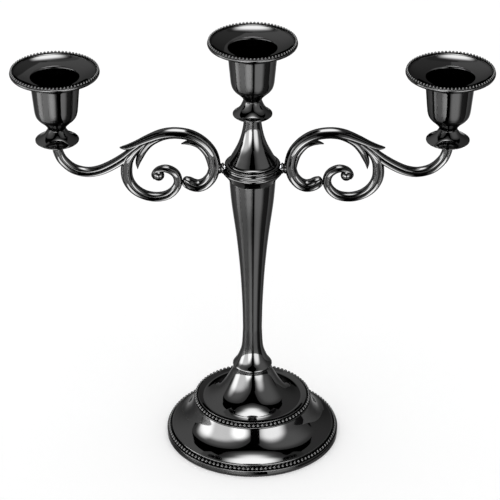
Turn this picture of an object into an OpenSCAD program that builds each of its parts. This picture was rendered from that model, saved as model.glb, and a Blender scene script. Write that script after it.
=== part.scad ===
// Tabletop candelabra: a beaded two-tier foot, a baluster column, and a branch of two
// scrolled arms that turns on a bush at the column's head. Three cups take taper candles.
// +Z is up, the foot rests on z = 0, the axis is the column's and the arms lie along X.

/* [Foot] */
// Diameter of the foot
foot_d = 100.1; // [92:0.1:110]
// Height of the plain band round the foot
foot_band_h = 3.6; // [3.2:0.1:5]
// Height of the whole base, up to the column's seat
base_h = 45.6; // [42:0.1:54]
// Diameter of the upper tier
tier_d = 68.5; // [62:0.1:74]
// Height of the upper tier's underside
tier_z = 22.3; // [20:0.1:25]
// Wall of the base shell
shell_wall = 1.6; // [1.2:0.1:2]
// Thickness of the felt pad
felt_t = 1.2; // [1:0.1:1.6]
// Thickness of the plate that closes the foot
plate_t = 1; // [0.8:0.1:1.2]

/* [Beading] */
// Diameter of one bead on the two rows of the base
base_bead_d = 2.1; // [1.8:0.1:2.3]
// Distance from bead to bead on the base
base_bead_pitch = 2.54; // [2.45:0.01:3.2]
// Diameter of one bead on the cup rims
cup_bead_d = 1.5; // [1.3:0.1:1.7]
// Distance from bead to bead on the cup rims
cup_bead_pitch = 2; // [1.9:0.01:2.6]

/* [Column] */
// Height of the column
column_h = 120.9; // [100:0.1:160]
// Diameter of the column's foot lip
column_foot_d = 22.6; // [21:0.1:24]
// Diameter of the column's waist
column_waist_d = 10.9; // [10.4:0.1:14]
// Diameter of the column's head
column_head_d = 25.8; // [25:0.1:28]
// Wall of the hollow column
column_wall = 1.8; // [1.5:0.1:2]

/* [Hub and cone] */
// Diameter of the hub ring
hub_d = 34; // [32:0.1:38]
// Height of the hub ring
hub_h = 10; // [9.5:0.1:13]
// Diameter of the spindle that the hub turns on
spindle_d = 16; // [12:0.1:17]
// Diameter of the tie rod
rod_d = 6; // [5:0.1:6.4]
// Diameter of the cone's lip
cone_d = 27.8; // [25:0.1:28.6]
// Height of the cone
cone_h = 27.4; // [24:0.1:36]
// Diameter of the cone's top
cone_top_d = 9.6; // [9:0.1:11]

/* [Cups and drip pans] */
// Bore of a candle socket
socket_d = 22.2; // [21.6:0.1:22.4]
// Depth of the straight part of the socket
socket_h = 8; // [7:0.1:9]
// Height of a cup, without its beading
cup_h = 34.9; // [33:0.1:39]
// Diameter of a cup's rim
rim_d = 49.3; // [46:0.1:54]
// Diameter of the neck under a cup
neck_d = 10.8; // [10:0.1:11.4]
// Diameter of the drip pans on the arms
side_pan_d = 24.2; // [21:0.1:27]
// Diameter of the centre drip pan
centre_pan_d = 21.9; // [20:0.1:25]
// Height of a drip pan
pan_h = 10.9; // [10:0.1:13]
// Diameter of the studs that hold the cups
cup_stud_d = 3; // [2.5:0.1:3.2]

/* [Arms] */
// Distance from the column's axis to a side cup's axis
arm_reach = 108; // [104:0.5:122]
// Height of the arm's tip above the arm's stud
arm_rise = 13.6; // [11:0.1:18]
// Width of the scroll's strand
scroll_w = 6.4; // [5.8:0.1:6.8]
// Width of the long arm's strand
arm_w = 5.4; // [5:0.1:5.8]
// Thickness of an arm casting, front to back
arm_t = 6.4; // [5.6:0.1:6.8]
// Diameter of the ball in the scroll's eye
eye_d = 6.4; // [6:0.1:6.8]
// Length of the ferrule between hub and arm
ferrule_l = 3; // [2.6:0.1:4]
// Diameter of the stud that holds an arm
arm_stud_d = 3.8; // [3:0.1:4]

/* [Fits] */
// Radial clearance of the hub on its spindle
turn_fit = 0.05; // [0.03:0.01:0.08]
// Height left free above the hub, so that the branch turns
turn_gap = 0.1; // [0.05:0.01:0.2]
// Radial clearance round a rod or a stud
rod_fit = 0.1; // [0.05:0.01:0.15]
// Radial clearance of a piece that drops into a recess
seat_fit = 0.05; // [0.03:0.01:0.1]

/* [Hidden] */
$fn = 96;

black_nickel = [0.09, 0.09, 0.1];
steel = [0.55, 0.56, 0.58];
iron = [0.25, 0.24, 0.24];
felt = [0.05, 0.05, 0.05];

// Curves. A station is a vector whose first two values are a place, and the curve
// runs smoothly through the stations with the given steps between each two.
curve_steps = 4;
function between(a, b, c, d, t) =
    0.5 * (2 * b + (c - a) * t + (2 * a - 5 * b + 4 * c - d) * t * t
           + (3 * b - a - 3 * c + d) * t * t * t);
function curve(s, steps = curve_steps) = let (last = len(s) - 1)
    [for (i = [0 : last - 1]) for (k = [0 : steps - 1])
         between(i > 0 ? s[i - 1] : 2 * s[0] - s[1], s[i], s[i + 1],
                 i < last - 1 ? s[i + 2] : 2 * s[last] - s[last - 1], k / steps),
     s[last]];
function reversed(s) = [for (i = [len(s) - 1 : -1 : 0]) s[i]];
function unit(v) = v / norm(v);
function heading(s, i) =
    unit([for (k = [0, 1]) s[min(i + 1, len(s) - 1)][k] - s[max(i - 1, 0)][k]]);
// The same curve moved sideways by d, to the left of its direction.
function beside(s, d) =
    [for (i = [0 : len(s) - 1]) let (t = heading(s, i)) [s[i][0] - t[1] * d, s[i][1] + t[0] * d]];

module turned(outline) rotate_extrude() polygon(outline);

module tube(r, bore_r, z0, z1)
    translate([0, 0, z0]) difference() {
        cylinder(r = r, h = z1 - z0);
        translate([0, 0, -1]) cylinder(r = bore_r, h = z1 - z0 + 2);
    }

// Heights of the stack
floor_gap = 0.3;
plate_top = felt_t + plate_t;
column_z = base_h;
head_z = column_z + column_h;
flange_t = 0.5;
hub_z = head_z + flange_t;
cone_z = hub_z + hub_h + turn_gap;
cone_top_z = cone_z + cone_h;
centre_cup_z = cone_top_z + pan_h;
arm_z = hub_z + 6.4;
tip_z = arm_z + arm_rise;
side_cup_z = tip_z + pan_h;
rod_r = rod_d / 2;
rod_hole_r = rod_r + rod_fit;
cup_stud_r = cup_stud_d / 2;
cup_stud_hole_r = cup_stud_r + rod_fit;
arm_stud_r = arm_stud_d / 2;
arm_stud_hole_r = arm_stud_r + rod_fit;

// Base shell: two concave flares, each ending in a beaded rim
foot_r = foot_d / 2;
foot_seat_z = foot_band_h + 0.2;
foot_bead_r = foot_r - 1.5;
bead_wall_r = base_bead_d / 2 + 0.2;
foot_wall_r = foot_bead_r - bead_wall_r;
foot_wall_z = foot_seat_z + 2.6;
tier_r = tier_d / 2;
tier_seat_z = tier_z + 0.7;
tier_bead_r = tier_r - 1.3;
tier_wall_r = tier_bead_r - bead_wall_r;
tier_wall_z = tier_seat_z + 2.1;
tier_overhang = 0.5;
dish_r = tier_wall_r - 7.2;
dish_z = tier_wall_z - 0.9;
seat_r = column_foot_d / 2 - 0.3;
foot_rise = tier_z - foot_wall_z;
foot_run = foot_wall_r - tier_r;
foot_flare = curve([
    [foot_wall_r - 0.4, foot_wall_z],
    [tier_r + 0.72 * foot_run, foot_wall_z + 0.16 * foot_rise],
    [tier_r + 0.46 * foot_run, foot_wall_z + 0.38 * foot_rise],
    [tier_r + 0.20 * foot_run, foot_wall_z + 0.68 * foot_rise],
    [tier_r - tier_overhang, tier_z]]);
neck_rise = base_h - dish_z;
neck_run = dish_r - seat_r;
neck_flare = curve([
    [dish_r, dish_z],
    [seat_r + 0.62 * neck_run, dish_z + 0.22 * neck_rise],
    [seat_r + 0.35 * neck_run, dish_z + 0.47 * neck_rise],
    [seat_r + 0.12 * neck_run, dish_z + 0.75 * neck_rise],
    [seat_r + 0.01 * neck_run, dish_z + 0.92 * neck_rise],
    [seat_r, base_h]]);
recess_r = foot_r - shell_wall;
plate_r = recess_r - seat_fit;
ledge = 1.5;

module base_shell() color(black_nickel) turned(concat(
    [[recess_r, floor_gap], [foot_r, floor_gap], [foot_r, foot_band_h],
     [foot_r - 0.2, foot_seat_z], [foot_wall_r, foot_seat_z], [foot_wall_r, foot_wall_z]],
    foot_flare,
    [[tier_r, tier_z], [tier_r, tier_seat_z - 0.2], [tier_r - 0.2, tier_seat_z],
     [tier_wall_r, tier_seat_z], [tier_wall_r, tier_wall_z], [tier_wall_r - 0.4, tier_wall_z],
     [tier_wall_r - 0.7, tier_wall_z - 0.3]],
    neck_flare,
    [[rod_hole_r, base_h], [rod_hole_r, base_h - 2 * shell_wall]],
    reversed(beside([for (p = neck_flare) if (p[1] < base_h - 3 * shell_wall) p], shell_wall)),
    [[tier_wall_r - shell_wall / 2, tier_wall_z - 0.3 - shell_wall]],
    reversed(beside(foot_flare, shell_wall)),
    [[recess_r - ledge, plate_top], [recess_r, plate_top]]));

// A beaded wire: a flat strip that carries a row of beads
module beading(row_r, z, bead_d, pitch) {
    strip_t = 0.3;
    strip_w = 0.7 * bead_d;
    count = floor(2 * PI * row_r / pitch);
    translate([0, 0, z]) {
        difference() {
            cylinder(r = row_r + strip_w / 2, h = strip_t);
            translate([0, 0, -1]) cylinder(r = row_r - strip_w / 2, h = strip_t + 2);
        }
        intersection() {
            for (i = [0 : count - 1])
                rotate(i * 360 / count) translate([row_r, 0, bead_d * 0.4]) sphere(d = bead_d);
            cylinder(r = row_r + bead_d, h = 2 * bead_d);
        }
    }
}
module foot_beading() color(black_nickel)
    beading(foot_bead_r, foot_seat_z, base_bead_d, base_bead_pitch);
module tier_beading() color(black_nickel)
    beading(tier_bead_r, tier_seat_z, base_bead_d, base_bead_pitch);

// Inside the base
module felt_pad() color(felt) cylinder(r = plate_r, h = felt_t);
module bottom_plate() color(steel) translate([0, 0, felt_t]) cylinder(r = plate_r, h = plate_t);

washer_t = 1.5;
nut_h = 5;
nut_w = 10;
weight_z = plate_top + 0.4 + nut_h + washer_t;
weight_top = dish_z - shell_wall - 0.1;
weight_r = dish_r + 3;
module base_weight() color(iron) tube(weight_r, rod_hole_r, weight_z, weight_top);
module rod_washer() color(steel) tube(1.5 * rod_d, rod_hole_r, weight_z - washer_t, weight_z);
module rod_nut() color(steel) translate([0, 0, weight_z - washer_t - nut_h]) difference() {
    cylinder(d = nut_w / cos(30), h = nut_h, $fn = 6);
    translate([0, 0, -1]) cylinder(r = rod_hole_r, h = nut_h + 2);
}
rod_top = cone_z + 0.7 * cone_h;
module tie_rod() color(steel) translate([0, 0, plate_top + 0.6])
    cylinder(r = rod_r, h = rod_top - plate_top - 0.6);

// Column: a flared foot, a slim waist and a head that swells to the hub
column_foot_r = column_foot_d / 2;
waist_r = column_waist_d / 2;
head_r = column_head_d / 2;
flare_h = 20;
foot_swell = column_foot_r - waist_r;
head_swell = head_r - waist_r;
waist_z = flare_h + 5;
shaft_h = column_h - waist_z;
column_flare = curve([
    [column_foot_r - 0.3, 1.5],
    [waist_r + 0.60 * foot_swell, 4.5],
    [waist_r + 0.24 * foot_swell, 9.8],
    [waist_r + 0.08 * foot_swell, 15],
    [waist_r, waist_z]]);
column_shaft = curve([
    [waist_r, waist_z],
    [waist_r + 0.05 * head_swell, waist_z + 0.17 * shaft_h],
    [waist_r + 0.20 * head_swell, waist_z + 0.39 * shaft_h],
    [waist_r + 0.46 * head_swell, waist_z + 0.61 * shaft_h],
    [waist_r + 0.82 * head_swell, waist_z + 0.83 * shaft_h],
    [waist_r + 0.95 * head_swell, waist_z + 0.94 * shaft_h],
    [head_r, column_h]], 6);
plug_r = head_r - column_wall;
plug_h = 6;
column_bore_top = column_h - plug_h - 1;
column_bore = [for (p = beside(column_shaft, column_wall))
    if (p[0] > rod_hole_r + 0.4 && p[1] < column_bore_top - 1) p];
module column() color(black_nickel) translate([0, 0, column_z]) turned(concat(
    [[rod_hole_r, 0], [seat_r, 0], [column_foot_r, 0.5], [column_foot_r, 1]],
    column_flare, column_shaft,
    [[plug_r, column_h], [plug_r, column_bore_top]],
    reversed(column_bore),
    [[rod_hole_r, column_bore[0][1] - 2]]));

// Pivot bush: plugs the column's head and carries the spindle that the hub turns on
spindle_r = spindle_d / 2;
module pivot_bush() color(steel) {
    tube(plug_r - seat_fit, rod_hole_r, head_z - plug_h, head_z);
    tube(head_r, rod_hole_r, head_z, hub_z);
    tube(spindle_r, rod_hole_r, hub_z, cone_z);
}

// Hub ring, with a seat for a ferrule on each side
hub_r = hub_d / 2;
hub_step_r = hub_r - 2;
hub_seat_x = hub_r - 1.1;
ferrule_r = 3.1;
hub_outline = concat(
    [[head_r + 0.2, hub_z]],
    curve([[head_r + 0.4, hub_z + 0.3], [hub_r - 1.8, hub_z + 2.3], [hub_r - 0.3, hub_z + 3.6]], 3),
    curve([[hub_r, hub_z + 4.3], [hub_r, hub_z + 0.56 * hub_h], [hub_r - 0.5, hub_z + 0.76 * hub_h],
           [hub_step_r + 0.5, hub_z + 0.9 * hub_h]], 3),
    [[hub_step_r, hub_z + 0.94 * hub_h], [hub_step_r - 0.5, hub_z + hub_h]]);
module hub_ring() color(black_nickel) difference() {
    turned(concat([[spindle_r + turn_fit, hub_z]], hub_outline,
                  [[spindle_r + turn_fit, hub_z + hub_h]]));
    for (side = [0, 180]) translate([0, 0, arm_z]) rotate([0, 90, side]) {
        translate([0, 0, spindle_r - 1]) cylinder(r = arm_stud_hole_r, h = hub_r);
        translate([0, 0, hub_seat_x]) cylinder(r = ferrule_r + seat_fit, h = 4);
    }
}

// Cone: screws on the tie rod above the hub and holds the centre cup
cone_r = cone_d / 2;
cone_top_r = cone_top_d / 2;
cone_swell = cone_r - 0.5 - cone_top_r;
module cone() color(black_nickel) difference() {
    turned(concat(
        [[0, cone_z], [cone_r - 0.4, cone_z], [cone_r, cone_z + 0.3], [cone_r, cone_z + 0.8]],
        curve([
            [cone_top_r + cone_swell, cone_z + 1.3],
            [cone_top_r + 0.72 * cone_swell, cone_z + 0.2 * cone_h],
            [cone_top_r + 0.41 * cone_swell, cone_z + 0.4 * cone_h],
            [cone_top_r + 0.19 * cone_swell, cone_z + 0.61 * cone_h],
            [cone_top_r + 0.05 * cone_swell, cone_z + 0.83 * cone_h],
            [cone_top_r, cone_top_z]]),
        [[0, cone_top_z]]));
    translate([0, 0, cone_z - 1]) cylinder(r = rod_hole_r, h = rod_top - cone_z + 1.5);
    translate([0, 0, rod_top + 2]) cylinder(r = cup_stud_hole_r, h = cone_h);
}

// Drip pan: a thin flared disc with a boss below and a neck above
neck_r = neck_d / 2;
boss_r = 4.2;
module drip_pan(d, edge_z, z) {
    r = d / 2;
    edge_t = 1.1;
    flare_z = edge_z + edge_t;
    swell = r - neck_r;
    translate([0, 0, z]) turned(concat(
        [[cup_stud_hole_r, 0], [boss_r, 0]],
        curve([[boss_r + 0.4, 0.5], [boss_r + 0.4 * (r - boss_r), 0.5 * edge_z], [r - 0.4, edge_z]]),
        [[r, edge_z + 0.35], [r, edge_z + 0.75]],
        curve([[r - 0.4, flare_z], [neck_r + 0.38 * swell, flare_z + 0.2 * (pan_h - flare_z)],
               [neck_r + 0.1 * swell, flare_z + 0.55 * (pan_h - flare_z)], [neck_r, pan_h]]),
        [[cup_stud_hole_r, pan_h]]));
}
module drip_pan_centre() color(black_nickel) drip_pan(centre_pan_d, 2.5, cone_top_z);

// Cup: a bowl with a candle socket and a wide dished rim
socket_r = socket_d / 2;
socket_z = 9.6;
rim_r = rim_d / 2;
throat_r = socket_r + 2;
throat_z = cup_h - 5.3;
rim_bead_r = rim_r - 0.95;
rim_wall_r = rim_bead_r - 0.9;
bowl_r = socket_r + 0.65;
lip_r = throat_r + 0.5;
lip_z = throat_z + 2.1;
dish_run = rim_wall_r - 0.3 - lip_r;
dish_rise = cup_h - 0.5 - lip_z;
under_run = rim_r - bowl_r;
stud_depth = 8;
cup_outline = concat(
    [[cup_stud_hole_r, 0], [neck_r, 0]],
    curve([[neck_r + 0.4, 1.2], [neck_r + 0.28 * (bowl_r - neck_r), 3.2],
           [neck_r + 0.78 * (bowl_r - neck_r), 6.4], [bowl_r, socket_z]]),
    [[bowl_r + 0.5, socket_z + 4]],
    curve([[throat_r - 0.2, throat_z - 8.8], [throat_r + 0.3, throat_z - 3.6],
           [throat_r + 0.7, throat_z - 1.2], [throat_r + 1.9, throat_z],
           [throat_r + 0.4 * (rim_r - throat_r), throat_z + 1],
           [throat_r + 0.66 * (rim_r - throat_r), throat_z + 2.3], [rim_r - 1.2, cup_h - 1.9]]),
    [[rim_r - 0.35, cup_h - 1.6], [rim_r, cup_h - 0.9], [rim_r, cup_h - 0.3],
     [rim_r - 0.25, cup_h], [rim_wall_r, cup_h], [rim_wall_r - 0.3, cup_h - 0.3]],
    reversed(curve([[lip_r, lip_z], [lip_r + 0.25 * dish_run, lip_z + 0.13 * dish_rise],
           [lip_r + 0.5 * dish_run, lip_z + 0.34 * dish_rise],
           [lip_r + 0.76 * dish_run, lip_z + 0.63 * dish_rise],
           [lip_r + dish_run, lip_z + dish_rise]])),
    [[throat_r + 0.15, throat_z + 1.7], [throat_r, throat_z + 0.8],
     [socket_r, socket_z + socket_h], [socket_r, socket_z], [0, socket_z], [0, stud_depth],
     [cup_stud_hole_r, stud_depth]]);
module cup(z) translate([0, 0, z]) turned(cup_outline);
module cup_beading(z) beading(rim_bead_r, z + cup_h, cup_bead_d, cup_bead_pitch);
module cup_stud(z0, z1) translate([0, 0, z0]) cylinder(r = cup_stud_r, h = z1 - z0);

stud_top = stud_depth - 0.5;
module cup_stud_centre() color(steel) cup_stud(rod_top + 2.5, centre_cup_z + stud_top);
module cup_centre() color(black_nickel) cup(centre_cup_z);
module cup_beading_centre() color(black_nickel) cup_beading(centre_cup_z);

// Arm: a casting of strands that taper along smooth curves. A station is [x, z, width],
// x from the scroll's limb, z from the arm's stud and width as a share of the strand's.
arm_seat_x = hub_seat_x + ferrule_l;
limb_x = arm_seat_x + 2.1;
main_scroll = [[17.9, -7, 0.05], [17.6, -7.15, 0.45], [16.8, -7.6, 0.82], [15.1, -8.8, 1.08],
               [12.2, -10.4, 1.12], [8.9, -10.9, 1.1], [5.6, -9.6, 1.06], [2.9, -6.9, 1.03],
               [1.1, -3.4, 1.02], [0, 2.6, 1.03], [1.8, 10, 0.99], [6.6, 16.3, 0.97], [13.4, 20.5, 0.98],
               [21.6, 21.9, 1], [29.2, 21, 0.96], [36.6, 18.2, 0.8], [43.2, 15.1, 0.62],
               [48, 13.2, 0.5], [50.8, 12.8, 0.32], [52.6, 12.9, 0.06]];
inner_leaf = [[20, 20.4, 0.5], [28, 19.9, 0.66], [35.2, 16.4, 0.72], [39.2, 11.8, 0.7],
              [41.4, 7.4, 0.62], [42.7, 3.4, 0.42], [42.9, -0.4, 0.05]];
limb_leaf = [[2, 0.2, 0.5], [2.6, 4.6, 0.62], [4.4, 9.4, 0.62], [8, 13.9, 0.6],
             [12, 15.8, 0.52], [15.4, 15.9, 0.36], [18.5, 15.2, 0.05]];
eye_scroll = [[38, 16.4, 0.5], [44, 11.2, 0.75], [47.8, 5.6, 0.92], [49.1, -0.6, 1.02],
              [48.5, -6.8, 1], [45.4, -12.4, 0.95], [40, -16.4, 0.87], [33.4, -18, 0.85],
              [26.9, -16.9, 0.82], [22.4, -13.2, 0.78], [20.5, -8.2, 0.76], [22.1, -3.1, 0.76],
              [26.8, -0.3, 0.7], [31.6, -1, 0.56], [34.2, -4, 0.4], [33.6, -6.6, 0.2]];
eye = [31.3, -4.4];
fork = [[39.5, 15.8, 0.68], [45.5, 10.9, 0.87], [50.8, 6.2, 1.02], [57.5, 1.8, 1.06]];
bow = [[-22.5, -1.4, 1.06], [-15.5, -2.3, 1.05], [-8.2, -0.1, 1.05], [-2.6, 5.2, 1.04],
       [-0.3, 10.4, 1.04]];
tip_r = 2.75;

// Section across a strand: two lobes with a crease between them on each face
lobes = [[-0.86, 0.6], [-0.35, 1], [0.2, 0.74], [0.62, 0.92], [0.93, 0.45]];
rim = concat([[-1, 0]], lobes, [[1, 0]], [for (p = reversed(lobes)) [p[0], -p[1]]]);
sides = len(rim);
function half_t(half_w) = 0.45 + 0.76 * half_w;
function ring(s, i, flip) = let (t = heading(s, i), w = s[i][2])
    [for (p = rim) [s[i][0] - t[1] * flip * p[0] * w, flip * p[1] * half_t(w),
                    s[i][1] + t[0] * flip * p[0] * w]];

// A strand swept along its stations; flip = -1 puts the wide lobe on the other side.
module strand(stations, w, flip = 1, steps = 3) {
    path = curve([for (s = stations) [s[0], s[1], s[2] * w / 2]], steps);
    last = len(path) - 1;
    polyhedron(
        points = [for (i = [0 : last]) each ring(path, i, flip)],
        faces = concat(
            [[for (j = [0 : sides - 1]) j]],
            [[for (j = [sides - 1 : -1 : 0]) last * sides + j]],
            [for (i = [0 : last - 1]) for (j = [0 : sides - 1]) let (k = (j + 1) % sides)
                each [[i * sides + j, (i + 1) * sides + j, i * sides + k],
                      [(i + 1) * sides + j, (i + 1) * sides + k, i * sides + k]]]));
}

bow_stations = concat(fork, [for (s = bow) [arm_reach - limb_x + s[0], s[1] * arm_rise / 13.6, s[2]]],
                      [[arm_reach - limb_x, arm_rise - 2, 1.03]]);
arm_hole_x = limb_x + 0.6 * scroll_w / 2 - 1;
module arm_casting() resize([0, arm_t, 0]) translate([limb_x, 0, 0]) {
    strand(main_scroll, scroll_w);
    strand(inner_leaf, scroll_w);
    strand(limb_leaf, scroll_w);
    strand(eye_scroll, scroll_w);
    strand(bow_stations, arm_w, -1);
    translate([eye[0], 0, eye[1]]) sphere(d = eye_d, $fn = 24);
    translate([arm_reach - limb_x, 0, arm_rise - 4]) cylinder(r = tip_r, h = 4, $fn = 48);
}
module arm() translate([0, 0, arm_z]) difference() {
    arm_casting();
    rotate([0, 90, 0]) {
        translate([0, 0, hub_seat_x]) cylinder(r = ferrule_r, h = ferrule_l);
        translate([0, 0, hub_seat_x]) cylinder(r = arm_stud_hole_r, h = arm_hole_x - hub_seat_x);
    }
    translate([arm_reach, 0, arm_rise - 4]) cylinder(r = cup_stud_hole_r, h = 6);
}

// Ferrule: a turned spool with two beads, threaded on the arm's stud
module ferrule() translate([hub_seat_x, 0, arm_z]) rotate([0, 90, 0]) turned([
    [arm_stud_hole_r, 0], [ferrule_r - 0.5, 0], [ferrule_r - 0.1, 0.25], [ferrule_r, 0.65],
    [ferrule_r - 0.1, 1.05], [ferrule_r - 0.6, ferrule_l / 2], [ferrule_r - 0.1, ferrule_l - 1.05],
    [ferrule_r, ferrule_l - 0.65], [ferrule_r - 0.1, ferrule_l - 0.25], [ferrule_r - 0.5, ferrule_l],
    [arm_stud_hole_r, ferrule_l]]);
module arm_stud() translate([spindle_r + 1, 0, arm_z]) rotate([0, 90, 0])
    cylinder(r = arm_stud_r, h = arm_hole_x - spindle_r - 1.3);

module at_tip() translate([arm_reach, 0, 0]) children();

// The pieces of the left arm are mirror images of the right ones
module mirrored() mirror([1, 0, 0]) children();
module drip_pan_side() at_tip() drip_pan(side_pan_d, 3.7, tip_z);
module cup_stud_side() at_tip() cup_stud(tip_z - 3.6, side_cup_z + stud_top);
module cup_side() at_tip() cup(side_cup_z);
module cup_beading_side() at_tip() cup_beading(side_cup_z);

module arm_right() color(black_nickel) arm();
module arm_left() color(black_nickel) mirrored() arm();
module arm_ferrule_right() color(black_nickel) ferrule();
module arm_ferrule_left() color(black_nickel) mirrored() ferrule();
module arm_stud_right() color(steel) arm_stud();
module arm_stud_left() color(steel) mirrored() arm_stud();
module drip_pan_right() color(black_nickel) drip_pan_side();
module drip_pan_left() color(black_nickel) mirrored() drip_pan_side();
module cup_stud_right() color(steel) cup_stud_side();
module cup_stud_left() color(steel) mirrored() cup_stud_side();
module cup_right() color(black_nickel) cup_side();
module cup_left() color(black_nickel) mirrored() cup_side();
module cup_beading_right() color(black_nickel) cup_beading_side();
module cup_beading_left() color(black_nickel) mirrored() cup_beading_side();

felt_pad();
bottom_plate();
base_shell();
foot_beading();
tier_beading();
base_weight();
rod_washer();
rod_nut();
tie_rod();
column();
pivot_bush();
cone();
drip_pan_centre();
cup_stud_centre();
cup_centre();
cup_beading_centre();
hub_ring();
arm_ferrule_left();
arm_ferrule_right();
arm_stud_left();
arm_stud_right();
arm_left();
arm_right();
drip_pan_left();
drip_pan_right();
cup_stud_left();
cup_stud_right();
cup_left();
cup_right();
cup_beading_left();
cup_beading_right();
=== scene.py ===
"""The finish of a tabletop candelabra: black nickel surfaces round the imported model."""
import math

import bmesh
import bpy
from mathutils import Matrix, Vector


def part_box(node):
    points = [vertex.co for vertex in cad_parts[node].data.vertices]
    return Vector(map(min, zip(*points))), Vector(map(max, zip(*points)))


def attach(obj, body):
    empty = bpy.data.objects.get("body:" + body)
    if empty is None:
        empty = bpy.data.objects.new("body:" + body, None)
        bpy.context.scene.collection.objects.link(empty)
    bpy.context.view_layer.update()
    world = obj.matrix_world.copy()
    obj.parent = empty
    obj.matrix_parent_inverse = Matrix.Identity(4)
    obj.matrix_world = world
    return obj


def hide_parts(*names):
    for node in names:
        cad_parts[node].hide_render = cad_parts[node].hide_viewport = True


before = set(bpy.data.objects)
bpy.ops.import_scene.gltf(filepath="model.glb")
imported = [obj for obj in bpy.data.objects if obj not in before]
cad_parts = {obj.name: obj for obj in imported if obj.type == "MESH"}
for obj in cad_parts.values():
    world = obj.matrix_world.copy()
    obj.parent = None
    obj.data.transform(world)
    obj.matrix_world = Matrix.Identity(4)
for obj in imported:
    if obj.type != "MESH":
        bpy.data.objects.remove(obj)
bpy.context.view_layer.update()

# ---------------------------------------------------------------- base shell
# The foot is spun from one sheet: two hollow flares, one above the other, each ending in a
# flat seat for a row of beads. It is polished and plated with black nickel like all that shows.
MM = 0.001
TURNS = 192
SHARP = math.radians(38)


def blank(name):
    """A new material, with its nodes and links."""
    material = bpy.data.materials.new(name)
    material.use_nodes = True
    return material, material.node_tree.nodes, material.node_tree.links


def grain(nodes, links, scale, detail):
    """A fine, irregular pattern that is fixed to the piece."""
    place = nodes.new("ShaderNodeTexCoord")
    texture = nodes.new("ShaderNodeTexNoise")
    texture.inputs["Scale"].default_value = scale
    texture.inputs["Detail"].default_value = detail
    links.new(place.outputs["Object"], texture.inputs["Vector"])
    return texture.outputs["Fac"]


def coloured(nodes, links, pattern, dark, light):
    """Lets the colour follow the pattern, from dark to light."""
    shade = nodes.new("ShaderNodeValToRGB")
    shade.color_ramp.elements[0].color = (*dark, 1)
    shade.color_ramp.elements[1].color = (*light, 1)
    links.new(pattern, shade.inputs["Fac"])
    links.new(shade.outputs["Color"], nodes["Principled BSDF"].inputs["Base Color"])


def finished(nodes, links, pattern, smooth, rough):
    """Lets the roughness follow the pattern, from smooth to rough."""
    polish = nodes.new("ShaderNodeMapRange")
    polish.inputs["To Min"].default_value = smooth
    polish.inputs["To Max"].default_value = rough
    links.new(pattern, polish.inputs["Value"])
    links.new(polish.outputs["Result"], nodes["Principled BSDF"].inputs["Roughness"])


def uneven(nodes, links, pattern, strength, height=0.0004):
    """Lets the pattern rise from the surface."""
    bump = nodes.new("ShaderNodeBump")
    bump.inputs["Strength"].default_value = strength
    bump.inputs["Distance"].default_value = height
    links.new(pattern, bump.inputs["Height"])
    links.new(bump.outputs["Normal"], nodes["Principled BSDF"].inputs["Normal"])


def black_nickel():
    """Mirror-polished black nickel plate, with a faint unevenness left by the polishing mop."""
    material, nodes, links = blank("black_nickel_plate")
    shader = nodes["Principled BSDF"]
    shader.inputs["Metallic"].default_value = 1.0
    shader.inputs["Specular Tint"].default_value = (0.4, 0.4, 0.4, 1)
    coloured(nodes, links, grain(nodes, links, 38, 3), (0.05, 0.05, 0.05), (0.06, 0.06, 0.06))
    haze = grain(nodes, links, 160, 4)
    finished(nodes, links, haze, 0.035, 0.075)
    uneven(nodes, links, haze, 0.012)
    return material


nickel = black_nickel()


def flowing(stations, steps=6):
    """A smooth line through the stations, with the given steps between each two."""
    points = [Vector(station) for station in stations]
    points = [2 * points[0] - points[1], *points, 2 * points[-1] - points[-2]]
    line = []
    for before, start, end, after in zip(points, points[1:], points[2:], points[3:]):
        for step in range(steps):
            t = step / steps
            line.append(0.5 * (2 * start + (end - before) * t
                               + (2 * before - 5 * start + 4 * end - after) * t ** 2
                               + (3 * start - before - 3 * end + after) * t ** 3))
    return line + [points[-2]]


def turned(outline, centre_x=0, turns=TURNS):
    """A closed outline of (radius, height) in millimetres, turned round a vertical axis."""
    mesh = bmesh.new()
    ring = [mesh.verts.new((radius * MM, 0, height * MM)) for radius, height in outline]
    edges = [mesh.edges.new(pair) for pair in zip(ring, ring[1:] + ring[:1])]
    bmesh.ops.spin(mesh, geom=ring + edges, cent=(0, 0, 0), axis=(0, 0, 1), dvec=(0, 0, 0),
                   angle=math.tau, steps=turns, use_merge=True, use_duplicate=False)
    bmesh.ops.remove_doubles(mesh, verts=mesh.verts, dist=0.002 * MM)
    bmesh.ops.translate(mesh, verts=mesh.verts, vec=(centre_x * MM, 0, 0))
    bmesh.ops.recalc_face_normals(mesh, faces=mesh.faces)
    return mesh


def plated(name, mesh, body, *nodes, edge_round=0):
    """Makes a bmesh a nickel-plated piece with smooth faces and lightly rounded corners."""
    for face in mesh.faces:
        face.smooth = True
    for edge in mesh.edges:
        if len(edge.link_faces) == 2 and edge.calc_face_angle(0) > SHARP:
            edge.smooth = False
    data = bpy.data.meshes.new(name)
    mesh.to_mesh(data)
    mesh.free()
    data.materials.append(nickel)
    piece = bpy.data.objects.new(name, data)
    bpy.context.scene.collection.objects.link(piece)
    if edge_round:
        bevel = piece.modifiers.new("polished_edges", "BEVEL")
        bevel.width = edge_round * MM
        bevel.segments = 3
        bevel.limit_method = "ANGLE"
        bevel.angle_limit = SHARP
        bevel.harden_normals = True
    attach(piece, body)
    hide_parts(*nodes)


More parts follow.
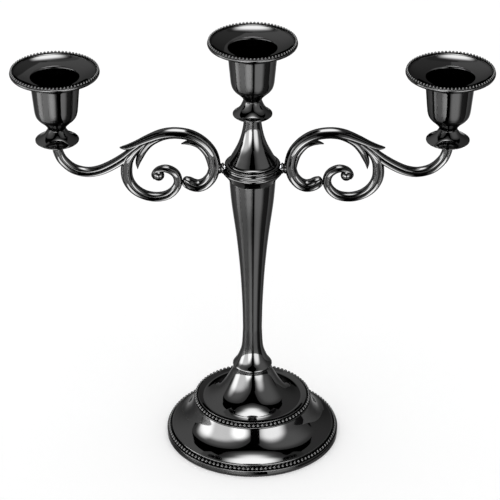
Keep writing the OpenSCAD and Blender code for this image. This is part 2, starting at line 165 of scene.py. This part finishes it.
rod_hole_r = 3.1
rim_wall = 1.6
foot_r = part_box("base_shell")[1].x / MM
base_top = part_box("base_shell")[1].z / MM
foot_flare = flowing([(46.5, 6.4), (43.2, 8.3), (39.6, 11.4), (36.5, 16.3), (34.1, 22.3)])
neck_flare = flowing([(27.9, 24.2), (25.3, 25.1), (22.3, 26.9), (19.2, 29.6), (15.7, 34.4),
                      (12.6, 40.3), (11.1, 43.9), (11, base_top)])
plated("plated_base", turned([
    (foot_r - rim_wall, 0.3), (foot_r, 0.3), (foot_r, 3.6), (foot_r - 0.2, 3.8), (47.3, 3.8),
    (47.3, 6.1), (47.1, 6.4),
    *foot_flare,
    (34.25, 22.5), (34.25, 22.8), (34.05, 23), (31.7, 23), (31.7, 24.9), (31.5, 25.1), (31.1, 25),
    (29.8, 24.5), (28.5, 24.15),
    *neck_flare,
    (rod_hole_r, base_top), (rod_hole_r, base_top - 3.2), (9.4, base_top - 3.2), (13.5, 35),
    (22.6, 22.6), (31, 22.6), (32.6, 20.5), (35.4, 14.6), (38.8, 9.8), (43, 6.2), (45.8, 4.6),
    (46.9, 2.2), (foot_r - rim_wall, 2.2)]), "stand", "base_shell", edge_round=0.2)

# ---------------------------------------------------------------- beading of the base
# Each row of beads is a length of beaded wire, bent to a ring and soldered on its seat. A thin
# flat web runs under the beads and joins them.


def beaded(name, body, node, row_r, seat_z, bead_d, pitch, centre_x=0):
    """A ring of beads on a flat web. The web has one side for each bead."""
    count = math.floor(math.tau * row_r / pitch)
    half_web = 0.35 * bead_d
    mesh = turned([(row_r - half_web, seat_z), (row_r + half_web, seat_z),
                   (row_r + half_web, seat_z + 0.3), (row_r - half_web, seat_z + 0.3)],
                  turns=count)
    for bead in range(count):
        seat = Matrix.Rotation(math.tau * bead / count, 4, "Z") @ Matrix.Translation(
            (row_r * MM, 0, (seat_z + 0.4 * bead_d) * MM))
        bmesh.ops.create_uvsphere(mesh, u_segments=10, v_segments=7, radius=bead_d / 2 * MM,
                                  matrix=seat)
    bmesh.ops.translate(mesh, verts=mesh.verts, vec=(centre_x * MM, 0, 0))
    plated(name, mesh, body, node)


for name, node, row_r, seat_z in (("foot_bead_row", "foot_beading", 48.55, 3.8),
                                  ("tier_bead_row", "tier_beading", 32.95, 23.0)):
    beaded(name, "stand", node, row_r, seat_z, bead_d=2.1, pitch=2.54)

# ---------------------------------------------------------------- column
# A hollow turned baluster: a flared foot with a thin lip, a slim waist above it, and a long
# swell up to the head, which meets the hub. The tie rod runs through it.
column_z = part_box("column")[0].z / MM
head_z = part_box("column")[1].z / MM
column_flare = flowing([(11, 47.1), (8.96, 50.1), (6.85, 55.4), (5.92, 60.6), (5.45, 70.6)])
column_shaft = flowing([(5.45, 70.6), (5.82, 86.9), (6.94, 108), (8.88, 129.1), (11.56, 150.2),
                        (12.53, 160.7), (12.9, head_z)], 8)
plated("plated_column", turned([
    (rod_hole_r, column_z), (11, column_z), (11.3, 46.1), (11.3, 46.6),
    *column_flare, *column_shaft[1:],
    (11.1, head_z), (11.1, 159.5), (7, 130), (5.1, 108), (3.9, 90), (3.9, 60), (rod_hole_r, 52)]),
    "stand", "column", edge_round=0.12)

# ---------------------------------------------------------------- cone
# Turned from solid and screwed on the tie rod above the hub. It draws the whole stand together
# and holds the centre cup.
stud_hole_r = 1.6
cone_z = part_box("cone")[0].z / MM
cone_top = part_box("cone")[1].z / MM
cone_flare = flowing([(13.2, 178.4), (10.99, 182.6), (8.33, 188.1), (6.43, 193.8), (5.23, 199.8),
                      (4.8, cone_top)])
plated("plated_cone", turned([
    (rod_hole_r, cone_z),
    *flowing([(13.6, cone_z), (13.9, cone_z + 0.35), (13.85, cone_z + 0.8), (13.6, cone_z + 1.1)],
             3),
    *cone_flare,
    (stud_hole_r, cone_top), (stud_hole_r, 198.3), (rod_hole_r, 196.8)]), "stand", "cone",
    edge_round=0.12)

# ---------------------------------------------------------------- hub ring
# The turned ring that both arms are fixed to, with a groove between its edge and its lip. It
# rests on the bush's flange and turns on its spindle, just under the cone. As the groove mirrors
# its own walls, it takes finer steps.
spindle_hole_r = 8.05
hub_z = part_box("hub_ring")[0].z / MM
hub_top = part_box("hub_ring")[1].z / MM
plated("plated_hub", turned([
    (spindle_hole_r, hub_z), (13.1, hub_z),
    *flowing([(13.25, hub_z + 0.3), (14.3, hub_z + 1.9), (15.6, hub_z + 3.6),
              (16.5, hub_z + 4.7)], 4),
    *flowing([(16.8, hub_z + 5.1), (16.92, hub_z + 5.5), (16.85, hub_z + 5.95),
              (16.6, hub_z + 6.3)], 3),
    *flowing([(16.2, hub_z + 6.5), (15.5, hub_z + 6.85), (15, hub_z + 7.4),
              (14.85, hub_z + 8.1)], 4),
    *flowing([(15.2, hub_z + 8.45), (15.5, hub_z + 8.85), (15.5, hub_z + 9.3),
              (15.2, hub_z + 9.7)], 3),
    (14.8, hub_z + 9.9), (14.3, hub_top), (spindle_hole_r, hub_top)], turns=2 * TURNS),
    "branch", "hub_ring")

# ---------------------------------------------------------------- drip pans
# A thin flared disc under each cup, turned with a boss below and a neck above. It is plated like
# the cup, whose stud clamps it on the cone or on the arm's tip.


def drip_pan(name, body, node, edge_r, edge_z, centre_x=0):
    """A pan whose edge lies edge_z above its boss. Its top falls from the neck as a hollow cone."""
    low, high = (corner.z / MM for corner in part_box(node))
    boss_r, neck_r, edge = 4.2, 5.15, 1.1
    under = flowing([(4.6, 0.5), (boss_r + 0.4 * (edge_r - boss_r), 0.5 * edge_z),
                     (edge_r - 0.4, edge_z)])
    falls = [(0.93, 0), (0.71, 0.12), (0.5, 0.28), (0.31, 0.47), (0.16, 0.7), (0.06, 0.88), (0, 1)]
    over = flowing([(neck_r + out * (edge_r - neck_r),
                     edge_z + edge + up * (high - low - edge_z - edge)) for out, up in falls], 4)
    outline = [(stud_hole_r, 0), (boss_r, 0), *under, (edge_r, edge_z + 0.35),
               (edge_r, edge_z + 0.75), *over, (stud_hole_r, high - low)]
    plated(name, turned([(r, low + z) for r, z in outline], centre_x), body, node)


arm_reach = 108
drip_pan("plated_pan_centre", "stand", "drip_pan_centre", 10.95, 2.2)
drip_pan("plated_pan_left", "branch", "drip_pan_left", 12.1, 3.7, -arm_reach)
drip_pan("plated_pan_right", "branch", "drip_pan_right", 12.1, 3.7, arm_reach)

# ---------------------------------------------------------------- cups
# Each cup is turned in one piece: a bowl with a blind socket for the candle, and a wide dished
# rim that catches the wax. It screws down on the pan below it.


def cup(name, body, node, centre_x=0):
    """A cup, drawn from its foot up the bowl, over the rim and down into the socket."""
    low, high = (corner.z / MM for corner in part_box(node))
    top = high - low
    socket_r, throat_r, floor_z = 11.1, 13.1, 9.6
    outline = [
        (stud_hole_r, 0), (5.15, 0),
        *flowing([(5.15, 0.8), (5.8, 2.2), (8, 4.6), (10, 6.5), (11.3, 8.4), (11.95, 10.8)]),
        (12.25, 13.6),
        *flowing([(12.9, 20.8), (13.4, 26), (13.8, 28.4), (15, 29.6), (17.7, 30.6),
                  (20.7, 31.9), (23.45, top - 1.9)]),
        *flowing([(24.3, top - 1.6), (24.65, top - 0.9), (24.65, top - 0.3), (24.4, top)], 4),
        (22.8, top), (22.5, top - 0.3),
        *flowing([(22.5, top - 0.5), (20.45, 33.4), (18.05, 32.6), (15.8, 32.05), (13.6, 31.7)]),
        (13.25, 31.3), (throat_r, 30.4), (socket_r, 17.6), (socket_r, floor_z),
        (0, floor_z), (0, 8), (stud_hole_r, 8)]
    plated(name, turned([(r, low + z) for r, z in outline], centre_x), body, node,
           edge_round=0.08)


LIGHTS = (("centre", "stand", 0), ("left", "branch", -arm_reach), ("right", "branch", arm_reach))
for side, body, centre_x in LIGHTS:
    cup("plated_cup_" + side, body, "cup_" + side, centre_x)

# ---------------------------------------------------------------- beading of the cups
# The same beaded wire in a finer gauge, one ring on the edge of each rim. It is plated with
# the cup after it is soldered on.
for side, body, centre_x in LIGHTS:
    node = "cup_beading_" + side
    beaded("cup_bead_row_" + side, body, node, 23.7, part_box(node)[0].z / MM, bead_d=1.5,
           pitch=2.0, centre_x=centre_x)

# ---------------------------------------------------------------- arms
# One casting for each arm: strands of two lobes with a crease between them, which leave the
# main scroll, curl round a ball and end in leaf tips. The long strand bows down and up to the
# cup. The left arm is cast from the mirrored pattern.
WIDE_LOBE = [(0.2, 0.74), (-0.35, 1), (-0.86, 0.6), (-1, 0), (-0.86, -0.6), (-0.35, -1),
             (0.2, -0.74)]
NARROW_LOBE = [(0.2, -0.74), (0.62, -0.92), (0.93, -0.45), (1, 0), (0.93, 0.45), (0.62, 0.92),
               (0.2, 0.74)]
SECTION = [*flowing(WIDE_LOBE, 3)[:-1], *flowing(NARROW_LOBE, 3)[:-1]]
limb_x = 21.0
stud_z = hub_z + 6.4
scroll_w = 6.4
bow_w = 5.4
eye_r = 3.2

# A strand's stations are how far out from the limb it is, how far above the stud, and its share
# of the full width.
main_scroll = [(17.9, -7.0, 0.05), (17.6, -7.15, 0.45), (16.8, -7.6, 0.82), (15.1, -8.8, 1.08),
               (12.2, -10.4, 1.12), (8.9, -10.9, 1.1), (5.6, -9.6, 1.06), (2.9, -6.9, 1.03),
               (1.1, -3.4, 1.02), (0, 2.6, 1.03), (1.8, 10, 0.99), (6.6, 16.3, 0.97),
               (13.4, 20.5, 0.98), (21.6, 21.9, 1), (29.2, 21, 0.96), (36.6, 18.2, 0.8),
               (43.2, 15.1, 0.62), (48, 13.2, 0.5), (50.8, 12.8, 0.32), (52.6, 12.9, 0.06)]
inner_leaf = [(20, 20.4, 0.5), (28, 19.9, 0.66), (35.2, 16.4, 0.72), (39.2, 11.8, 0.7),
              (41.4, 7.4, 0.62), (42.7, 3.4, 0.42), (42.9, -0.4, 0.05)]
limb_leaf = [(2, 0.2, 0.5), (2.6, 4.6, 0.62), (4.4, 9.4, 0.62), (8, 13.9, 0.6), (12, 15.8, 0.52),
             (15.4, 15.9, 0.36), (18.5, 15.2, 0.05)]
eye_scroll = [(38, 16.4, 0.5), (44, 11.2, 0.75), (47.8, 5.6, 0.92), (49.1, -0.6, 1.02),
              (48.5, -6.8, 1), (45.4, -12.4, 0.95), (40, -16.4, 0.87), (33.4, -18, 0.85),
              (26.9, -16.9, 0.82), (22.4, -13.2, 0.78), (20.5, -8.2, 0.76), (22.1, -3.1, 0.76),
              (26.8, -0.3, 0.7), (31.6, -1, 0.56), (34.2, -4, 0.4), (33.6, -6.6, 0.2)]
bow = [(39.5, 15.8, 0.68), (45.5, 10.9, 0.87), (50.8, 6.2, 1.02), (57.5, 1.8, 1.06),
       (64.5, -1.4, 1.06), (71.5, -2.3, 1.05), (78.8, -0.1, 1.05), (84.4, 5.2, 1.04),
       (86.7, 10.4, 1.04), (87, 13.4, 1.04)]


def strand(mesh, stations, width, crease_side=1):
    """Draws the two-lobed section along the stations. A thin strand is also shallower."""
    line = flowing(stations, 5)
    frames = []
    for place, here in enumerate(line):
        ahead = line[min(place + 1, len(line) - 1)] - line[max(place - 1, 0)]
        turn = math.atan2(ahead.y, ahead.x) + math.pi / 2
        half = here.z * width / 2
        depth = 0.45 + 0.76 * half
        frames.append(
            Matrix.Translation(((limb_x + here.x) * MM, 0, (stud_z + here.y) * MM))
            @ Matrix.Rotation(-turn, 4, "Y")
            @ Matrix.Diagonal((half * MM * crease_side, depth * MM, MM, 1)))
    ring = [mesh.verts.new((across, deep, 0)) for across, deep in SECTION]
    bmesh.ops.transform(mesh, matrix=frames[0], verts=ring)
    loop = [mesh.edges.new(pair) for pair in zip(ring, ring[1:] + ring[:1])]
    mesh.faces.new(ring)
    for before, after in zip(frames, frames[1:]):
        drawn = bmesh.ops.extrude_edge_only(mesh, edges=loop)["geom"]
        ring = [part for part in drawn if isinstance(part, bmesh.types.BMVert)]
        loop = [part for part in drawn if isinstance(part, bmesh.types.BMEdge)
                and all(vert in ring for vert in part.verts)]
        bmesh.ops.transform(mesh, matrix=after @ before.inverted(), verts=ring)
    bmesh.ops.contextual_create(mesh, geom=loop)


def arm(name, node, side):
    """The casting of one side. The ball is the eye that the scroll curls round."""
    mesh = bmesh.new()
    for stations in (main_scroll, inner_leaf, limb_leaf, eye_scroll):
        strand(mesh, stations, scroll_w)
    strand(mesh, bow, bow_w, -1)
    bmesh.ops.create_icosphere(mesh, subdivisions=4, radius=eye_r * MM, matrix=(
        Matrix.Translation(((limb_x + 31.3) * MM, 0, (stud_z - 4.4) * MM))))
    bmesh.ops.recalc_face_normals(mesh, faces=mesh.faces)
    if side < 0:
        bmesh.ops.scale(mesh, vec=(-1, 1, 1), verts=mesh.verts)
        bmesh.ops.reverse_faces(mesh, faces=mesh.faces)
    plated(name, mesh, "branch", node)


arm("cast_arm_right", "arm_right", 1)
arm("cast_arm_left", "arm_left", -1)

# ---------------------------------------------------------------- ferrules
# A small turned spool between hub and arm on each side, plated like both. The arm's stud runs
# through it into the hub and holds it fast.
for side, sign in (("left", -1), ("right", 1)):
    node = "arm_ferrule_" + side
    near = (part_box(node)[0].x if sign > 0 else -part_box(node)[1].x) / MM
    mesh = turned([(2, 0), (2.6, 0), (3, 0.25), (3.1, 0.65), (3, 1.05), (2.5, 1.5), (3, 1.95),
                   (3.1, 2.35), (3, 2.75), (2.6, 3), (2, 3)], turns=48)
    bmesh.ops.transform(mesh, verts=mesh.verts, matrix=(
        Matrix.Translation((sign * near * MM, 0, stud_z * MM))
        @ Matrix.Rotation(sign * math.pi / 2, 4, "Y")))
    plated("turned_ferrule_" + side, mesh, "branch", node)

# ---------------------------------------------------------------- inner pieces
# What holds the stand together inside: steel fasteners, a plated bush, a cast-iron weight, and
# the felt pad under the foot.


def plain_metal(name, colour, roughness, scale):
    """Bare metal, a little darker and smoother in places."""
    material, nodes, links = blank(name)
    nodes["Principled BSDF"].inputs["Metallic"].default_value = 1.0
    skin = grain(nodes, links, scale, 5)
    coloured(nodes, links, skin, [0.8 * part for part in colour], colour)
    finished(nodes, links, skin, roughness - 0.08, roughness + 0.08)
    return material


def felted():
    """Black felt, with its fibres standing up a little."""
    material, nodes, links = blank("black_felt")
    shader = nodes["Principled BSDF"]
    shader.inputs["Roughness"].default_value = 0.95
    shader.inputs["Sheen Weight"].default_value = 0.4
    fibres = grain(nodes, links, 1400, 6)
    coloured(nodes, links, fibres, (0.012, 0.012, 0.012), (0.04, 0.04, 0.04))
    uneven(nodes, links, fibres, 0.6)
    return material


turned_steel = plain_metal("turned_steel", (0.55, 0.56, 0.58), 0.3, 500)
cast_iron = plain_metal("cast_iron", (0.25, 0.24, 0.24), 0.6, 900)
inner_finish = {"felt_pad": felted(), "base_weight": cast_iron, "pivot_bush": nickel}
for node in ("bottom_plate", "rod_washer", "rod_nut", "tie_rod", "cup_stud_centre",
             "cup_stud_left", "cup_stud_right", "arm_stud_left", "arm_stud_right"):
    inner_finish[node] = turned_steel
for node, material in inner_finish.items():
    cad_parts[node].data.materials.clear()
    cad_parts[node].data.materials.append(material)

# ---------------------------------------------------------------- studio
# A white floor and white surroundings, which the camera sees. All else is there for the polished
# nickel to mirror: lit umbrellas in front and overhead, a black gap between them, a ring of
# black and grey screens, and dark sheets round the foot. Sizes here are in metres.


def emitting(name, strength):
    """An even light, or black at strength 0."""
    material, nodes, links = blank(name)
    nodes.remove(nodes["Principled BSDF"])
    glow = nodes.new("ShaderNodeEmission")
    glow.inputs["Strength"].default_value = strength
    links.new(glow.outputs["Emission"], nodes["Material Output"].inputs["Surface"])
    return material


def fading(name, soft, rim, middle):
    """Light that fades from the middle of a card to a round rim."""
    material = emitting(name, 0)
    nodes, links = material.node_tree.nodes, material.node_tree.links
    place = nodes.new("ShaderNodeTexCoord")
    size = nodes.new("ShaderNodeMapping")
    size.inputs["Scale"].default_value = (2, 2, 2)
    patch = nodes.new("ShaderNodeTexGradient")
    patch.gradient_type = "SPHERICAL"
    fade = nodes.new("ShaderNodeMapRange")
    fade.interpolation_type = "SMOOTHERSTEP"
    for field, value in zip(("From Min", "From Max", "To Min", "To Max"), (0, soft, rim, middle)):
        fade.inputs[field].default_value = value
    links.new(place.outputs["Object"], size.inputs["Vector"])
    links.new(size.outputs["Vector"], patch.inputs["Vector"])
    links.new(patch.outputs["Fac"], fade.inputs["Value"])
    links.new(fade.outputs["Result"], nodes["Emission"].inputs["Strength"])
    return material, nodes, links, patch.outputs["Fac"]


def umbrella(name, rim, middle):
    """A lit umbrella, which is cut off at its round rim."""
    material, nodes, links, patch = fading(name, 0.8, rim, middle)
    inside = nodes.new("ShaderNodeMath")
    inside.operation = "GREATER_THAN"
    inside.inputs[1].default_value = 0.0
    trimmed = nodes.new("ShaderNodeMixShader")
    links.new(patch, inside.inputs[0])
    links.new(inside.outputs["Value"], trimmed.inputs["Fac"])
    links.new(nodes.new("ShaderNodeBsdfTransparent").outputs["BSDF"], trimmed.inputs[1])
    links.new(nodes["Emission"].outputs["Emission"], trimmed.inputs[2])
    links.new(trimmed.outputs["Shader"], nodes["Material Output"].inputs["Surface"])
    return material


def lamp(name, strength, soft=0.75):
    """A lamp's glow, which adds to the light of what stands behind it."""
    material, nodes, links, _ = fading(name, soft, 0, strength)
    added = nodes.new("ShaderNodeAddShader")
    links.new(nodes.new("ShaderNodeBsdfTransparent").outputs["BSDF"], added.inputs[0])
    links.new(nodes["Emission"].outputs["Emission"], added.inputs[1])
    links.new(added.outputs["Shader"], nodes["Material Output"].inputs["Surface"])
    return material


def staged(name, mesh, material, seen=False):
    """A piece of the studio. What the camera doesn't see is there for reflections only."""
    data = bpy.data.meshes.new(name)
    mesh.to_mesh(data)
    mesh.free()
    data.materials.append(material)
    piece = bpy.data.objects.new(name, data)
    bpy.context.scene.collection.objects.link(piece)
    piece.visible_camera = piece.visible_diffuse = piece.visible_shadow = seen
    return piece


def card(name, material):
    """A card of one metre by one metre, lying at the origin."""
    mesh = bmesh.new()
    bmesh.ops.create_grid(mesh, x_segments=1, y_segments=1, size=0.5)
    return staged(name, mesh, material)


def screen(name, material, azimuth, distance, across, upright, roll=0):
    """A standing card. Azimuth 0 is the viewer's side, and right of it is positive."""
    left, right = across
    low, high = upright
    card(name, material).matrix_world = (
        Matrix.Rotation(math.radians(azimuth), 4, "Z")
        @ Matrix.Translation(((left + right) / 2, -distance, (low + high) / 2))
        @ Matrix.Rotation(math.radians(roll), 4, "Y") @ Matrix.Rotation(math.pi / 2, 4, "X")
        @ Matrix.Diagonal((right - left, high - low, 1, 1)))


def panel(name, material, across, along, height):
    """A card that lies level above the candelabra, from left to right and from front to back."""
    left, right = across
    front, back = along
    card(name, material).matrix_world = (
        Matrix.Translation(((left + right) / 2, (front + back) / 2, height))
        @ Matrix.Diagonal((right - left, back - front, 1, 1)))


floor_mesh = bmesh.new()
bmesh.ops.create_circle(floor_mesh, cap_ends=True, segments=96, radius=9)
floor_paint, floor_nodes, _ = blank("pale_floor")
floor_shader = floor_nodes["Principled BSDF"]
floor_shader.inputs["Base Color"].default_value = (0.8, 0.8, 0.8, 1)
floor_shader.inputs["Roughness"].default_value = 0.9
floor_shader.inputs["Specular IOR Level"].default_value = 0.1
floor_shader.inputs["Emission Color"].default_value = (1, 1, 1, 1)
floor_shader.inputs["Emission Strength"].default_value = 0.22
staged("floor", floor_mesh, floor_paint, seen=True)

# Two dark ribbed sheets lie in front of the foot with a black slit between them. Their ribs lean
# towards the viewer and outwards, so that they show the umbrellas, low down, in the nickel. The
# sheets are turned as the pieces are, in millimetres.
sheet_near, sheet_far = 52, 900
sheet_under, sheet_over = 0.2, 0.3


def lying(name, material, start, end):
    """A flat sheet round the foot, from one azimuth to another."""
    mesh = turned([(sheet_near, sheet_over), (sheet_far, sheet_over),
                   (sheet_far, sheet_under), (sheet_near, sheet_under)])
    for azimuth, side in ((start, -1), (end, 1)):
        turn = math.radians(azimuth)
        bmesh.ops.bisect_plane(mesh, geom=[*mesh.verts, *mesh.edges, *mesh.faces],
                               plane_co=(0, 0, 0), clear_outer=True,
                               plane_no=(side * math.cos(turn), side * math.sin(turn), 0))
    staged(name, mesh, material)


def ribbed(name, near, far, lean_out):
    """A dark gloss, as bright as near beside the foot and as far further out."""
    material, nodes, links = blank(name)
    nodes.remove(nodes["Principled BSDF"])
    gloss = nodes.new("ShaderNodeBsdfAnisotropic")
    gloss.inputs["Roughness"].default_value = 0.12
    ribs = nodes.new("ShaderNodeCombineXYZ")
    for axis, value in zip("XYZ", (math.sin(math.radians(lean_out)), -0.156, 0.97)):
        ribs.inputs[axis].default_value = value
    place = nodes.new("ShaderNodeTexCoord")
    reach = nodes.new("ShaderNodeVectorMath")
    reach.operation = "LENGTH"
    shade = nodes.new("ShaderNodeMapRange")
    for field, value in zip(("From Min", "From Max", "To Min", "To Max"), (0.15, 0.4, near, far)):
        shade.inputs[field].default_value = value
    links.new(place.outputs["Object"], reach.inputs[0])
    links.new(reach.outputs["Value"], shade.inputs["Value"])
    links.new(shade.outputs["Result"], gloss.inputs["Color"])
    links.new(ribs.outputs["Vector"], gloss.inputs["Normal"])
    links.new(gloss.outputs["BSDF"], nodes["Material Output"].inputs["Surface"])
    return material


black = emitting("black_screen", 0)
lying("ribbed_sheet_left", ribbed("ribbed_sheet_left", 0.11, 0.25, -11), -95, 3.5)
lying("ribbed_sheet_right", ribbed("ribbed_sheet_right", 0.14, 0.18, 11), 10.5, 95)
lying("black_slit", black, 3.5, 10.5)
lying("black_sheet_behind", black, 160, 200)

# The ring of screens round the candelabra is black, and grey at the back.
screen("black_screen_behind", black, 180, 2.3, (-0.7, 0.7), (0, 0.75))
screen("black_strip", black, 4.5, 1.0, (-0.14, 0.14), (-0.8, 0.5))
grey_left = emitting("grey_screen_left", 1.1)
grey_right = emitting("grey_screen_right", 0.42)
for azimuth in range(-180, 180, 15):
    paint = grey_left if azimuth < -118 else grey_right if azimuth > 112 else black
    screen("screen", paint, azimuth, 2.4, (-0.33, 0.33), (0, 3.6))

# Each umbrella is broad and dim, and has one or more bright lamps in front of it.
screen("umbrella_left", umbrella("umbrella_left", 0.5, 1.5), -57, 1.2, (-1.8, 2.2), (-0.63, 1.2), 8)
screen("umbrella_right", umbrella("umbrella_right", 0.45, 1.3), 64, 1.2, (-2.1, 1.5), (-0.48, 1.5),
       -8)
screen("lamp_left", lamp("lamp_left", 11), -22, 1.05, (-0.45, 0.45), (-0.5, 0.52))
screen("lamp_wide_left", lamp("lamp_wide_left", 8, 0.5), -52, 1.1, (-1.6, 1.6), (-0.6, 0.62))
screen("lamp_far_left", lamp("lamp_far_left", 9), -86, 1.05, (-0.4, 0.4), (-0.45, 0.62))
screen("lamp_right", lamp("lamp_right", 13), 36, 1.05, (-0.7, 0.6), (-0.5, 0.6))
panel("overhead", lamp("overhead", 14, 0.6), (-0.4, 0.4), (-0.58, 0.55), 1.0)
panel("ceiling", umbrella("ceiling", 0.3, 2.5), (-0.52, 0.52), (-0.95, 0.5), 1.01)
panel("lid_front", black, (-2.5, 2.5), (-2.5, 0), 3.6)
panel("lid_left", emitting("lid_left", 0.7), (-2.5, 0), (0, 2.5), 3.6)
panel("lid_right", emitting("lid_right", 0.3), (0, 2.5), (0, 2.5), 3.6)

world = bpy.data.worlds.new("white_surroundings")
world.use_nodes = True
world.node_tree.nodes["Background"].inputs["Color"].default_value = (1, 1, 1, 1)
world.node_tree.nodes["Background"].inputs["Strength"].default_value = 1.0
bpy.context.scene.world = world
bpy.context.scene.view_settings.view_transform = "Standard"

# The camera looks down at the candelabra, centred on the column at about half its height.
camera_data = bpy.data.cameras.new("camera")
camera_data.sensor_width = 36
camera_data.lens = 181.4
camera_data.clip_end = 50
camera = bpy.data.objects.new("camera", camera_data)
bpy.context.scene.collection.objects.link(camera)
aim = Vector((-0.0014, 0, 0.1212))
tilt = math.radians(29.257)
back = Vector((0, -math.cos(tilt), math.sin(tilt)))
camera.location = aim + 1.4274 * back
camera.rotation_euler = back.to_track_quat("Z", "Y").to_euler()
bpy.context.scene.camera = camera
